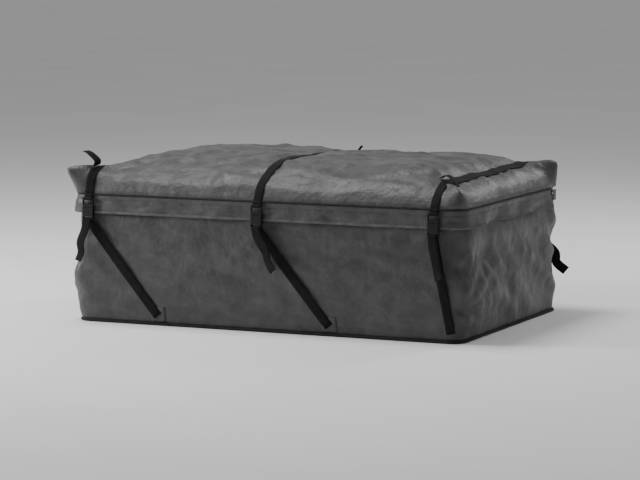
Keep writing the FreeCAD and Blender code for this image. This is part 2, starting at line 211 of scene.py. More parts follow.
def radiating_folds(points, centre, axis_a, axis_b, spokes, reach, seed):
    """Ridges that fan out from a point where the cloth is pulled, fading with distance."""
    a = (points - np.array(centre))[:, axis_a]
    b = (points - np.array(centre))[:, axis_b]
    far = np.hypot(a, b)
    angle = np.arctan2(b, a)
    at = np.column_stack([np.cos(angle) * spokes, np.sin(angle) * spokes, far / reach])
    fade = np.exp(-far / reach) * np.clip(far / 0.02, 0, 1)
    return crease_field(at, 1.0, seed, 0.16) * fade


def bump_curve(value, width):
    """Bell curve, 1 at zero."""
    return np.exp(-(value / width) ** 2)


# ---- outlines ----
def rounded_plan(count_x, count_y, x_half, y_low, y_high, radius):
    """Grid of a rounded rectangle, as an array of (count_y + 1, count_x + 1, 2)."""
    xs = np.linspace(-x_half, x_half, count_x + 1)
    ys = np.linspace(y_low, y_high, count_y + 1)
    grid_x, grid_y = np.meshgrid(xs, ys)
    y_middle = (y_low + y_high) / 2
    core_x = x_half - radius
    core_y = (y_high - y_low) / 2 - radius
    a = (np.abs(grid_x) - core_x) / radius
    b = (np.abs(grid_y - y_middle) - core_y) / radius
    corner = (a > 0) & (b > 0)
    scale = np.ones_like(a)
    scale[corner] = np.maximum(a[corner], b[corner]) / np.hypot(a[corner], b[corner])
    grid_x = np.where(corner, np.sign(grid_x) * (core_x + a * scale * radius), grid_x)
    grid_y = np.where(corner, y_middle + np.sign(grid_y - y_middle) * (core_y + b * scale * radius), grid_y)
    return np.stack([grid_x, grid_y], -1)


def grid_faces(count_x, count_y):
    """Faces of a grid whose points run row by row, seen from above."""
    wide = count_x + 1
    return [(j * wide + i, j * wide + i + 1, (j + 1) * wide + i + 1, (j + 1) * wide + i)
            for j in range(count_y) for i in range(count_x)]


def rim_order(count_x, count_y):
    """Indices of the grid's edge, starting at the near-front corner and running along the near side."""
    wide = count_x + 1
    near = [i for i in range(count_x)]
    rear = [j * wide + count_x for j in range(count_y)]
    far = [count_y * wide + i for i in range(count_x, 0, -1)]
    front = [j * wide for j in range(count_y, 0, -1)]
    return near + rear + far + front


COUNT_X = round(2 * HALF_X / CELL)
COUNT_Y = round(2 * HALF_Y / CELL)
LOOP = rim_order(COUNT_X, COUNT_Y)


def outline_points(proud):
    """Closed outline of the tub at a distance from its walls, and its outward directions."""
    plan = rounded_plan(COUNT_X, COUNT_Y, HALF_X, -HALF_Y, HALF_Y, CORNER).reshape(-1, 2)[LOOP]
    along = np.roll(plan, -1, 0) - np.roll(plan, 1, 0)
    along /= np.linalg.norm(along, axis=1)[:, None]
    outward = np.stack([along[:, 1], -along[:, 0]], -1)
    return plan + outward * proud, outward


def open_part(y_end):
    """Positions in the outline, in order, from the front end round the near side to the rear end."""
    plan, _ = outline_points(0)
    count = len(plan)
    start = next(k for k in range(count - 1, 0, -1) if plan[k][1] > y_end and plan[k][0] < 0)
    order = [(start + 1 + k) % count for k in range(count)]
    stop = next(k for k, place in enumerate(order) if plan[place][1] > y_end and plan[place][0] > 0)
    return order[:stop]


def open_outline(y_end):
    """The outline and its outward directions, only where open_part runs."""
    order = open_part(y_end)
    outline, outward = outline_points(0)
    return outline[order], outward[order]


def ring_faces(rings, ring, closed=False):
    """Faces between rings of points, ring by ring, and back to the first if closed."""
    faces = []
    for k in range(rings if closed else rings - 1):
        here = k * ring
        following = (k + 1) % rings * ring
        for turn in range(ring):
            after = (turn + 1) % ring
            faces.append((here + turn, here + after, following + after, following + turn))
    return faces


# ---- cloth ----
def set_group(piece, name, weights):
    """Vertex group from an array of weights."""
    group = piece.vertex_groups.new(name=name)
    for index, weight in enumerate(weights):
        if weight > 0:
            group.add([index], float(weight), "REPLACE")


def settle(piece, pins, growth, most_growth, pressure, cap):
    """Lets the cloth buckle: it grows by up to most_growth where growth is 1, stays put at its pins, and
    moves by less than cap."""
    before = read_points(piece)
    set_group(piece, "pins", pins)
    set_group(piece, "growth", growth)
    modifier = piece.modifiers.new("Cloth", "CLOTH")
    cloth = modifier.settings
    cloth.quality = 5
    cloth.mass = 0.2
    cloth.tension_stiffness = 25
    cloth.compression_stiffness = 25
    cloth.shear_stiffness = 8
    cloth.bending_stiffness = 0.4
    cloth.air_damping = 2
    cloth.vertex_group_mass = "pins"
    cloth.vertex_group_shrink = "growth"
    cloth.shrink_min = 0.0
    cloth.shrink_max = -most_growth
    cloth.use_pressure = True
    cloth.uniform_pressure_force = pressure
    cloth.effector_weights.gravity = 0
    modifier.collision_settings.use_collision = False
    modifier.point_cache.frame_start = 1
    modifier.point_cache.frame_end = SETTLE_FRAMES
    for step in range(1, SETTLE_FRAMES + 1):
        bpy.context.scene.frame_set(step)
    graph = bpy.context.evaluated_depsgraph_get()
    mesh = piece.evaluated_get(graph).to_mesh()
    after = np.array([v.co for v in mesh.vertices])
    piece.evaluated_get(graph).to_mesh_clear()
    piece.modifiers.clear()
    piece.vertex_groups.clear()
    bpy.context.scene.frame_set(1)
    move = after - before
    size = np.linalg.norm(move, axis=1)[:, None] + 1e-9
    write_points(piece, before + move / size * cap * np.tanh(size / cap))


# ---- materials ----
def node(tree, kind, **values):
    """New shader node with some of its inputs or properties set."""
    made = tree.nodes.new(kind)
    for key, value in values.items():
        if hasattr(made, key):
            setattr(made, key, value)
        else:
            made.inputs[key.replace("_", " ")].default_value = value
    return made


def start_material(name, roughness, specular=0.4, sheen=0.0, metallic=0.0):
    """New material. Returns it with its node tree, principled shader and object coordinates."""
    material = bpy.data.materials.new(name)
    material.use_nodes = True
    tree = material.node_tree
    shader = tree.nodes["Principled BSDF"]
    shader.inputs["Roughness"].default_value = roughness
    shader.inputs["Specular IOR Level"].default_value = specular
    shader.inputs["Sheen Weight"].default_value = sheen
    shader.inputs["Sheen Roughness"].default_value = 0.5
    shader.inputs["Metallic"].default_value = metallic
    place = node(tree, "ShaderNodeTexCoord").outputs["Object"]
    return material, tree, shader, place


def noise_height(tree, place, scale, detail, roughness=0.55):
    """Noise as a value."""
    cloud = node(tree, "ShaderNodeTexNoise", Scale=scale, Detail=detail, Roughness=roughness)
    tree.links.new(place, cloud.inputs["Vector"])
    return cloud.outputs["Fac"]


def colour_noise(tree, place, dark, light, scale, detail=4.0):
    """Colour that drifts between two values with noise."""
    ramp = node(tree, "ShaderNodeValToRGB")
    ramp.color_ramp.elements[0].position = 0.32
    ramp.color_ramp.elements[1].position = 0.7
    ramp.color_ramp.elements[0].color = (*dark, 1)
    ramp.color_ramp.elements[1].color = (*light, 1)
    tree.links.new(noise_height(tree, place, scale, detail, 0.6), ramp.inputs["Fac"])
    return ramp.outputs["Color"]


def threads(tree, place, pitch, direction):
    """Fine parallel threads along one axis, as a height."""
    wave = node(tree, "ShaderNodeTexWave", Scale=0.314 / pitch, Distortion=0.6, Detail=1.0)
    wave.bands_direction = direction
    tree.links.new(place, wave.inputs["Vector"])
    return wave.outputs["Fac"]


def bump(tree, shader, heights):
    """Chains bumps, coarse first: each is (height, strength, distance)."""
    normal = None
    for height, strength, distance in heights:
        step = node(tree, "ShaderNodeBump", Strength=strength, Distance=distance)
        tree.links.new(height, step.inputs["Height"])
        if normal is not None:
            tree.links.new(normal, step.inputs["Normal"])
        normal = step.outputs["Normal"]
    tree.links.new(normal, shader.inputs["Normal"])


def vary_roughness(tree, shader, place, low, high, scale):
    """Roughness that drifts with noise."""
    spread = node(tree, "ShaderNodeMapRange")
    spread.inputs["To Min"].default_value = low
    spread.inputs["To Max"].default_value = high
    tree.links.new(noise_height(tree, place, scale, 3.0, 0.5), spread.inputs["Value"])
    tree.links.new(spread.outputs["Result"], shader.inputs["Roughness"])


def set_wear_and_highlight(piece, wear_and_highlight):
    """Stores how much each point is paled, 0 to 1, for the fabric's colour: scuffing, and a painted highlight
    on fold crests.
    """
    attribute = piece.data.attributes.new("wear_and_highlight", "FLOAT", "POINT")
    attribute.data.foreach_set("value", np.clip(wear_and_highlight, 0, 1))


def add_wear_and_highlight(tree, colour, pale):
    """Colour that turns paler on the crests of folds: partly scuffing, partly a painted highlight."""
    wear_and_highlight = node(tree, "ShaderNodeAttribute", attribute_name="wear_and_highlight").outputs["Fac"]
    mix = node(tree, "ShaderNodeMix", data_type="RGBA")
    tree.links.new(wear_and_highlight, mix.inputs[0])
    tree.links.new(colour, mix.inputs[6])
    mix.inputs[7].default_value = (*pale, 1)
    return mix.outputs[2]


def coated_fabric(name, dark, light, crinkle):
    """Woven polyester with a waterproof coating that crinkles; its colour turns paler on fold crests, partly
    scuffing and partly a painted highlight.
    """
    material, tree, shader, place = start_material(name, 0.5, specular=0.42, sheen=0.08)
    cloth_colour = colour_noise(tree, place, dark, light, 26.0, 7.0)
    # pale: the tone of fold crests, partly scuffing and partly painted highlight
    pale = tuple(1.6 * value for value in light)
    tree.links.new(add_wear_and_highlight(tree, cloth_colour, pale), shader.inputs["Base Color"])
    vary_roughness(tree, shader, place, 0.36, 0.58, 14.0)
    bump(tree, shader, [
        (noise_height(tree, place, 38.0, 4.0), crinkle, 0.004),
        (noise_height(tree, place, 150.0, 2.0), 0.5 * crinkle, 0.0012),
        (threads(tree, place, 0.0011, "X"), 0.12, 0.0002),
        (threads(tree, place, 0.0011, "Z"), 0.12, 0.0002)])
    return material


def webbing(name, dark, light):
    """Flat woven webbing with cross ribs and a diagonal twill."""
    material, tree, shader, place = start_material(name, 0.8, specular=0.15, sheen=0.02)
    tree.links.new(colour_noise(tree, place, dark, light, 60.0, 5.0), shader.inputs["Base Color"])
    bump(tree, shader, [
        (threads(tree, place, 0.0021, "DIAGONAL"), 0.35, 0.0004),
        (threads(tree, place, 0.0016, "X"), 0.3, 0.0003)])
    return material


def moulded_plastic(name, dark, light):
    """Satin injection-moulded plastic with a fine grain."""
    material, tree, shader, place = start_material(name, 0.42, specular=0.28)
    tree.links.new(colour_noise(tree, place, dark, light, 120.0), shader.inputs["Base Color"])
    vary_roughness(tree, shader, place, 0.36, 0.52, 90.0)
    bump(tree, shader, [(noise_height(tree, place, 1400.0, 2.0), 0.12, 0.0002)])
    return material


def enamelled_metal(name):
    """Black enamelled zinc of the zip sliders, worn a little."""
    material, tree, shader, place = start_material(name, 0.3, specular=0.5, metallic=0.6)
    tree.links.new(colour_noise(tree, place, (0.02, 0.02, 0.022), (0.07, 0.07, 0.07), 300.0),
                   shader.inputs["Base Color"])
    vary_roughness(tree, shader, place, 0.22, 0.45, 200.0)
    return material


def plain_floor(name):
    """Pale matt floor."""
    material, tree, shader, place = start_material(name, 0.9, specular=0.1)
    paint_colour = colour_noise(tree, place, (0.88, 0.88, 0.88), (0.92, 0.92, 0.92), 1.5)
    tree.links.new(paint_colour, shader.inputs["Base Color"])
    return material


FABRIC_LOOK = coated_fabric("coated_fabric", (0.030, 0.030, 0.0315), (0.060, 0.060, 0.062), 0.7)
FLAP_LOOK = coated_fabric("flap_fabric", (0.034, 0.034, 0.0355), (0.068, 0.068, 0.07), 0.55)
# lid fabric: the tub's cloth with a paler light tone, painted light for the lid's top, which faces the light
LIT_LID_LOOK = coated_fabric("lid_fabric_lit", (0.030, 0.030, 0.0315), (0.078, 0.078, 0.080), 0.95)
# binding tape, much paler than the cloth: a painted highlight along the flap's hem
BINDING_HIGHLIGHT_LOOK = webbing("binding_tape", (0.075, 0.075, 0.078), (0.125, 0.125, 0.128))
PIPING_LOOK = webbing("piping_cover", (0.014, 0.014, 0.015), (0.028, 0.028, 0.03))
WEB_LOOK = webbing("strap_webbing", (0.004, 0.004, 0.0045), (0.010, 0.010, 0.0105))
TAPE_LOOK = webbing("zip_tape_weave", (0.015, 0.015, 0.016), (0.03, 0.03, 0.032))
PLASTIC_LOOK = moulded_plastic("buckle_plastic", (0.004, 0.004, 0.0045), (0.009, 0.009, 0.010))
COIL_LOOK = moulded_plastic("zip_coil_nylon", (0.010, 0.010, 0.011), (0.02, 0.02, 0.022))
THREAD_LOOK = moulded_plastic("stitch_thread", (0.05, 0.05, 0.052), (0.09, 0.09, 0.092))
METAL_LOOK = enamelled_metal("slider_enamel")


# ---- tub ----
WALL_ROWS = 26


def wall_top_at(point):
    """Height of the tub's upper edge: lower where the zip is, higher along the hinge seam."""
    return FAR_TOP if point[1] > HALF_Y - SEAM_STEP else WALL_TOP


def tub_shell():
    """Base and walls in one sheet: stuffed long sides, slack and heavily folded ends."""
    plan = rounded_plan(COUNT_X, COUNT_Y, HALF_X, -HALF_Y, HALF_Y, CORNER).reshape(-1, 2)
    points = [(x, y, BASE_Z) for x, y in plan]
    faces = [tuple(reversed(face)) for face in grid_faces(COUNT_X, COUNT_Y)]
    outline, _ = outline_points(0)
    below = LOOP
    count = len(LOOP)
    for row in range(1, WALL_ROWS + 1):
        share = row / WALL_ROWS
        here = list(range(len(points), len(points) + count))
        for x, y in outline:
            top = wall_top_at((x, y))
            points.append((x, y, BASE_Z + (top - BASE_Z) * share))
        faces += [(below[k], below[(k + 1) % count], here[(k + 1) % count], here[k]) for k in range(count)]
        below = here
    piece = new_object("bag_tub", points, faces)
    rest = read_points(piece)
    height = rest[:, 2] / WALL_TOP
    on_wall = rest[:, 2] > BASE_Z + 1e-5
    pins = np.where(on_wall, 0.0, 1.0)
    pins[-count:] = 1.0
    near_top = np.clip((height - 0.9) / 0.1, 0, 1)
    pins = np.maximum(pins, 0.5 * near_top * on_wall)
    ends = end_share(rest, 0.10)
    long_side = (1 - ends) * 0.2
    growth = np.where(on_wall, ends + long_side, 0.0)
    settle(piece, pins, growth, most_growth=0.045, pressure=1.0, cap=0.012)
    shape_walls(piece)
    subdivide(piece)
    fine_crumple(piece)
    surface = piece.data.copy()
    thicken(piece, FABRIC)
    finish_piece(piece, FABRIC_LOOK, "tub",
                 ["base_panel", "near_wall", "far_wall", "front_wall", "rear_wall"])
    return surface


def wall_weight(points):
    """1 in the middle of the wall's height, 0 at the base and at the top edge."""
    share = np.clip((points[:, 2] - BASE_Z) / (WALL_TOP - BASE_Z), 0, 1)
    return np.sin(math.pi * share) ** 0.7


def shape_walls(piece):
    """Large shapes that the simulation doesn't make: streaks, lumps, diagonal and pulled folds, the waist."""
    points = read_points(piece)
    outward = vertex_normals(piece)
    outward[:, 2] *= 0.2
    weight = wall_weight(points)
    end = end_share(points, 0.05)
    streaks = noise_field(points, (0.45, 0.45, 0.024), 3) * 0.0034 * (1 - end)
    lumps = noise_field(points, (0.30, 0.30, 0.20), 5) * 0.007
    slant = points[:, 1] * 0.7 + points[:, 2]
    across = points[:, 1] - points[:, 2] * 0.7
    side_of_bag = np.sign(points[:, 0])
    at = np.column_stack([side_of_bag, slant / 0.095, across / 0.50])
    folds = crease_field(at, 1.0, 8, 0.22) * 0.016
    for height, seed in ((WALL_TOP, 14), (0.25 * WALL_TOP, 15)):
        for sign in (-1, 1):
            pull = radiating_folds(points, (sign * HALF_X, -HALF_Y, height), 1, 2, 3.0, 0.20, seed)
            folds = folds + pull * 0.011 * (side_of_bag == sign)
    waist = -0.014 * bump_curve(points[:, 2] - 0.66 * WALL_TOP, 0.06)
    for x in STRAP_X:
        pull = radiating_folds(points, (x, -HALF_Y, WALL_TOP), 0, 2, 2.2, 0.07, 16)
        streaks = streaks + pull * 0.003 * (1 - end) * (points[:, 1] < 0)
    move = (streaks + lumps + (folds + waist) * end) * weight
    write_points(piece, points + outward * move[:, None])


def press_behind_buckles(points):
    """Holds the cloth back where a strap or a buckle lies on it, with a slope on each side."""
    slope = 0.35
    margin = 0.003
    for side_name, side, name, _ in BUCKLES:
        low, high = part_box(side_name + "_" + name + "_plug")
        socket_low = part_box(side_name + "_buckle_sockets")[0].z
        off_middle = np.abs(points[:, 0] - (low.x + high.x) / 2)
        aside = np.clip(off_middle - (high.x - low.x) / 2 - margin, 0, None)
        below = np.clip(socket_low - margin - points[:, 2], 0, None)
        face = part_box("far_strap_drops")[0].y if side > 0 else -high.y
        limit = face - 0.0008 + slope * np.hypot(aside, below)
        here = side * points[:, 1]
        points[:, 1] = np.where(here > 0, side * np.minimum(here, limit), points[:, 1])
    return points


def fine_crumple(piece):
    """Crinkles and facets, stronger at the ends, paled along their ridges as scuffing and painted highlight,
    and flat behind the buckles.
    """
    points = read_points(piece)
    outward = vertex_normals(piece)
    end = end_share(points, 0.08)
    small = noise_field(points, (0.03, 0.03, 0.022), 11)
    tilted = np.column_stack([points[:, 0], points[:, 1] * 0.8 + points[:, 2] * 0.6,
                              points[:, 2] * 0.8 - points[:, 1] * 0.6])
    facets, ridges = facet_field(tilted, (0.16, 0.055, 0.11), 13)
    slanted = np.column_stack([points[:, 0], points[:, 1], points[:, 2] + 0.16 * points[:, 0]])
    level, level_ridge = facet_field(slanted, (0.40, 0.34, 0.042), 17)
    # paler colour on the facet ridges: partly scuffing, partly painted highlight
    set_wear_and_highlight(piece, ridges * 0.16 * end + level_ridge * 0.24 * (1 - end))
    at_end = small * 0.0012 + facets * 0.0110 + ridges * 0.0022
    at_side = small * 0.0004 + level * 0.0085 + level_ridge * 0.0018
    move = at_end * end + at_side * (1 - end)
    moved = points + outward * (move * wall_weight(points))[:, None]
    write_points(piece, press_behind_buckles(moved))


# ---- lid ----
LID_X = HALF_X + PROUD
LID_NEAR = -HALF_Y - PROUD
LID_RUN = 0.215                 # distance in from the rim over which the lid rises
SQUARENESS = 1.75               # 1 is a straight slope, 2 a quarter ellipse
# each ear: signs of its corner, how far it sticks out, how far up
EARS = ((-1, -1, 0.052, 0.050), (1, -1, 0.012, 0.018), (-1, 1, 0.010, 0.018), (1, 1, 0.030, 0.046))


def dome(inset):
    """Height of the stuffed lid above the rim at a distance in from the rim."""
    share = np.clip(inset / LID_RUN, 0, 1)
    return (CROWN - RIM) * (1 - (1 - share) ** SQUARENESS) ** (1 / SQUARENESS)


def lid_height(x, y):
    """Lid surface before the cloth settles."""
    inset_x = LID_X - np.abs(x)
    inset_y = np.minimum(y - LID_NEAR, HALF_Y - y)
    softness = 0.03
    inset = -softness * np.log(np.exp(-inset_x / softness) + np.exp(-inset_y / softness))
    inset = np.clip(inset + softness * math.log(2) * bump_curve(inset_x - inset_y, 0.05), 0, None)
    edge = np.minimum(inset_x, inset_y)
    return RIM + dome((np.minimum(inset, edge) + edge) / 2)


def lid_shell():
    """Domed top panel as the simulation leaves it."""
    plan = rounded_plan(COUNT_X, COUNT_Y, LID_X, LID_NEAR, HALF_Y, CORNER + PROUD).reshape(-1, 2)
    heights = lid_height(plan[:, 0], plan[:, 1])
    edge = np.zeros(len(plan), bool)
    edge[LOOP] = True
    heights[edge] = RIM
    piece = new_object("bag_lid", np.column_stack([plan, heights]), grid_faces(COUNT_X, COUNT_Y))
    rest = read_points(piece)
    pins = edge.astype(float)
    pins = np.maximum(pins, 0.35 * (near_straps(rest[:, 0], 0.016) > 0.5))
    front_share = np.clip((0.1 - rest[:, 0]) / 0.5, 0, 1)
    growth = np.where(edge, 0.0, 0.55 + 0.45 * front_share)
    settle(piece, pins, growth, most_growth=0.05, pressure=0.8, cap=0.016)
    return piece


def raise_ears(points):
    """Pulls the lid's corners out and up into pointed ears of pinched cloth."""
    for sign_x, sign_y, out, up in EARS:
        y_corner = LID_NEAR if sign_y < 0 else HALF_Y
        past_x = sign_x * points[:, 0] - (LID_X - 0.012)
        past_y = sign_y * (points[:, 1] - y_corner) + 0.012
        off_line = (past_x - past_y) / math.sqrt(2)
        back = np.clip(-(past_x + past_y) / math.sqrt(2), 0, None)
        share = np.clip((points[:, 2] - RIM) / (0.5 * (CROWN - RIM)), 0, 1)
        weight = bump_curve(off_line, 0.026) * bump_curve(back, 0.070) * share ** 0.5
        points[:, 0] += sign_x * out * weight
        points[:, 1] += sign_y * out * weight * (0.8 if sign_y < 0 else 0)
        points[:, 2] += up * weight
    return points


def shape_lid(piece):
    """Strap grooves, lumps of luggage, pulled folds at the straps, and the corner ears."""
    points = read_points(piece)
    outward = vertex_normals(piece)
    inset = lid_inset(points)
    inner = np.clip(inset / 0.05, 0, 1)
    groove = -0.007 * near_straps(points[:, 0], 0.03)
    lumps = noise_field(points, (0.24, 0.20, 0.5), 21) * 0.012
    ridges = crease_field(points, (0.16, 0.07, 0.2), 23) * 0.006
    pulled = np.zeros(len(points))
    for index, x in enumerate(STRAP_X):
        pulled += radiating_folds(points, (x, LID_NEAR + 0.03, RIM), 0, 1, 3.5, 0.10, 24 + index) * 0.008
    move = (groove + lumps + ridges + pulled) * inner
    write_points(piece, raise_ears(points + outward * move[:, None]))


def lid_inset(points):
    """Distance in from the lid's rim, in plan."""
    from_sides = LID_X - np.abs(points[:, 0])
    return np.minimum(from_sides, np.minimum(points[:, 1] - LID_NEAR, HALF_Y - points[:, 1]))


def crumple_lid(piece):
    """Small sharp crinkles, strongest towards the front, paled along their ridges as scuffing and painted
    highlight.
    """
    points = read_points(piece)
    inner = np.clip(lid_inset(points) / 0.02, 0, 1)
    front_share = np.clip((0.25 - points[:, 0]) / 0.6, 0, 1)
    small = noise_field(points, (0.028, 0.022, 0.03), 31)
    broad, broad_ridge = facet_field(points, (0.085, 0.050, 0.07), 33)
    fine, fine_ridge = facet_field(points, (0.036, 0.026, 0.035), 34)
    height = small * 0.0009 + broad * 0.0060 + broad_ridge * 0.0022 + fine * 0.0026 + fine_ridge * 0.0008
    # paler colour on the ridges, more towards the front: partly scuffing, partly painted highlight
    set_wear_and_highlight(piece, (broad_ridge * 0.22 + fine_ridge * 0.14) * (0.4 + 0.6 * front_share))
    push_out(piece, height * (0.55 + 0.45 * front_share) * inner)


def make_lid():
    """The finished lid panel."""
    piece = lid_shell()
    shape_lid(piece)
    subdivide(piece)
    crumple_lid(piece)
    surface = piece.data.copy()
    thicken(piece, FABRIC)
    finish_piece(piece, LIT_LID_LOOK, "lid", ["lid_panel"])
    return surface


# ---- bands round the near side and both ends ----
def band_sheet(name, y_end, rows, offset):
    """Upright strip that follows the outline. offset(row, points, outward) gives how proud it stands."""
    outline, outward = open_outline(y_end)
    count = len(outline)
    points = []
    for row, z in enumerate(rows):
        proud = offset(row / (len(rows) - 1), outline, z)
        placed = outline + outward * proud[:, None]
        points += [(x, y, z) for x, y in placed]
    faces = [(j * count + i, (j + 1) * count + i, (j + 1) * count + i + 1, j * count + i + 1)
             for j in range(len(rows) - 1) for i in range(count - 1)]
    return new_object(name, points, faces)


def flap_offset(share, outline, z):
    """How proud the rain flap stands: it flares and waves towards its hem and is held in at the straps."""
    at = np.column_stack([outline, np.full(len(outline), z)])
    wave = noise_field(at, (0.09, 0.09, 0.06), 41) * 0.006 + noise_field(at, (0.03, 0.03, 0.05), 42) * 0.002
    end = end_share(outline, 0.04)
    corner = np.clip(1 - np.abs(outline[:, 1] + HALF_Y) / 0.10, 0, 1) * end
    held = near_straps(outline[:, 0], 0.035) * (outline[:, 1] < -HALF_Y + 0.01)
    loose = share * (1 - held)
    free_end = end * bump_curve(outline[:, 1] - FLAP_END, 0.07)
    flare = share * (0.004 * corner + 0.011 * free_end)
    return PROUD - 0.001 + loose * (0.0035 + wave * (1 + end)) + flare


def storm_flap():
    """Rain flap over the zip, with a line of stitching pressed in along its upper third."""
    rows = np.linspace(RIM - 0.003, FLAP_LOW + 0.004, 9)
    piece = band_sheet("rain_flap", FLAP_END, rows, flap_offset)
    subdivide(piece)
    points = read_points(piece)
    level = (RIM - points[:, 2]) / (RIM - FLAP_LOW)
    seam = -0.0012 * bump_curve(level - 0.30, 0.05)
    small = noise_field(points, (0.03, 0.03, 0.012), 43) * 0.0012 * np.clip(level * 3, 0, 1)
    push_out(piece, seam + small)
    surface = piece.data.copy()
    thicken(piece, 0.0022)
    finish_piece(piece, FLAP_LOOK, "lid", ["storm_flap"])
    top_edge = flap_edge_path(RIM, 0.0)
    return surface


def tube(name, path, radius, closed=False, flat=1.0):
    """Mesh tube along a path of points; flat squeezes it sideways."""
    path = np.asarray(path)
    sides = 8
    count = len(path)
    points = []
    for k in range(count):
        before = path[k - 1] if k > 0 or closed else path[k]
        after = path[(k + 1) % count] if k < count - 1 or closed else path[k]
        along = Vector(after - before).normalized()
        side = along.cross(Vector((0, 0, 1))).normalized()
        up = side.cross(along)
        for turn in range(sides):
            angle = 2 * math.pi * turn / sides
            offset = side * radius * flat * math.cos(angle) + up * radius * math.sin(angle)
            points.append(Vector(path[k]) + offset)
    faces = ring_faces(count, sides, closed)
    if not closed:
        faces.append(tuple(range(sides)))
        faces.append(tuple(reversed(range((count - 1) * sides, count * sides))))
    return new_object(name, points, faces)


def flap_edge_path(z, share, extra=0.0):
    """Line along the flap at one height."""
    outline, outward = open_outline(FLAP_END)
    proud = flap_offset(share, outline, z) + extra
    placed = outline + outward * proud[:, None]
    return np.column_stack([placed, np.full(len(placed), z)])


def flap_trim():
    """Binding folded over the flap's hem, pale as a painted highlight, and the dark piping in the rim seam.
    """
    hem = tube("flap_hem_binding", flap_edge_path(FLAP_LOW + 0.0045, 1.0, -0.001), 0.0042, flat=0.42)
    subdivide(hem)
    finish_piece(hem, BINDING_HIGHLIGHT_LOOK, "lid", ["flap_binding"])
    bead = tube("rim_seam_piping", flap_edge_path(RIM - 0.0015, 0.0, 0.0005), 0.0026)
    subdivide(bead)
    finish_piece(bead, PIPING_LOOK, "lid", ["rim_piping"])


def base_bead():
    """Piping round the base seam."""
    outline, _ = outline_points(0.0032)
    path = np.column_stack([outline, np.full(len(outline), 0.0041)])
    bead = tube("base_seam_piping", path, 0.0038, closed=True)
    subdivide(bead)
    finish_piece(bead, PIPING_LOOK, "tub", ["base_piping"])


# ---- zip ----
def flat_band(name, y_end, z_from, z_to, proud, thickness):
    """Upright strip at a constant distance from the wall."""
    rows = np.linspace(z_from, z_to, 4)
    piece = band_sheet(name, y_end, rows, lambda share, outline, z: np.full(len(outline), proud))
    thicken(piece, thickness)
    return piece


def zip_parts():
    """Skirt, both tapes and both rows of teeth."""
    skirt = flat_band("lid_inner_skirt", ZIP_END + 0.006, RIM + 0.001, SKIRT_LOW, 0.0, 0.0025)
    finish_piece(skirt, FABRIC_LOOK, "lid", ["lid_skirt"])
    lower = flat_band("zip_tape_lower", ZIP_END, COIL_LOW + 0.0005, COIL_LOW - 0.012, 0.0008, 0.0007)
    finish_piece(lower, TAPE_LOOK, "tub", ["lower_zip_tape"])
    upper = flat_band("zip_tape_upper", ZIP_END, COIL_TOP + 0.012, COIL_TOP - 0.0005, 0.0008, 0.0007)
    finish_piece(upper, TAPE_LOOK, "lid", ["upper_zip_tape"])
    teeth("zip_teeth_lower", COIL_LOW, COIL_MID, "tub", "lower_zip_coil", 0.0)
    teeth("zip_teeth_upper", COIL_MID + 0.0002, COIL_TOP, "lid", "upper_zip_coil", 0.5)


def distance_along(path):
    """Distance along a path at each of its points."""
    steps = np.linalg.norm(np.diff(path, axis=0), axis=1)
    return np.concatenate([[0], np.cumsum(steps)])


def point_at(wanted, distance, path):
    """Points of a path at the wanted distances along it."""
    return np.column_stack([np.interp(wanted, distance, path[:, k]) for k in range(path.shape[1])])


def along_outline(path, pitch, phase):
    """Evenly spaced places and directions along an open path in plan."""
    distance = distance_along(path)
    wanted = np.arange(phase * pitch, distance[-1], pitch)
    direction = point_at(wanted + 0.001, distance, path) - point_at(wanted - 0.001, distance, path)
    return point_at(wanted, distance, path), direction / np.linalg.norm(direction, axis=1)[:, None]


def teeth(name, z_low, z_high, body, replaced, phase):
    """Row of coil turns, each a small rounded bar."""
    order = open_part(ZIP_END)
    outline, _ = outline_points(-0.0006)
    placed, direction = along_outline(outline[order], 0.0032, phase)
    profile = [(-1.0, -0.5), (-0.6, -1.0), (0.6, -1.0), (1.0, -0.5),
               (1.0, 0.5), (0.6, 1.0), (-0.6, 1.0), (-1.0, 0.5)]
    points, faces = [], []
    for (x, y), (dx, dy) in zip(placed, direction):
        base = len(points)
        for z in (z_low, z_high):
            for along, out in profile:
                px = x + dx * along * 0.0011 + dy * out * 0.0012
                py = y + dy * along * 0.0011 - dx * out * 0.0012
                points.append((px, py, z))
        faces.append(tuple(base + k for k in range(7, -1, -1)))
        faces.append(tuple(base + 8 + k for k in range(8)))
        faces += [(base + k, base + (k + 1) % 8, base + 8 + (k + 1) % 8, base + 8 + k) for k in range(8)]
    piece = new_object(name, points, faces)
    finish_piece(piece, COIL_LOOK, body, [replaced], smooth=False)


# ---- webbing ----
def ribbon(name, path, side, width):
    """Flat webbing along a path. side gives its width direction at each point."""
    path = np.asarray(path, float)
    side = np.broadcast_to(np.asarray(side, float), path.shape)
    profile = [(-1, -0.4), (-0.97, -1), (-0.5, -1), (0, -1), (0.5, -1), (0.97, -1), (1, -0.4),
               (1, 0.4), (0.97, 1), (0.5, 1), (0, 1), (-0.5, 1), (-0.97, 1), (-1, 0.4)]
    points = []
    ring = len(profile)
    for k in range(len(path)):
        along = Vector(path[min(k + 1, len(path) - 1)] - path[max(k - 1, 0)]).normalized()
        across = Vector(side[k])
        across = (across - along * across.dot(along)).normalized()
        out = across.cross(along)
        for a, b in profile:
            points.append(Vector(path[k]) + across * (a * width / 2) + out * (b * WEB_THICK / 2))
    faces = ring_faces(len(path), ring)
    faces.append(tuple(reversed(range(ring))))
    faces.append(tuple(range((len(path) - 1) * ring, len(path) * ring)))
    return new_object(name, points, faces)


def strap(name, path, side, body, replaced=(), width=WEB):
    """Finished piece of strap webbing."""
    return finish_piece(ribbon(name, path, side, width), WEB_LOOK, body, replaced)


def smooth_path(points, rounds):
    """Moving average that keeps both ends."""
    points = np.array(points, float)
    for _ in range(rounds):
        points[1:-1] = (points[:-2] + 2 * points[1:-1] + points[2:]) / 4
    return points


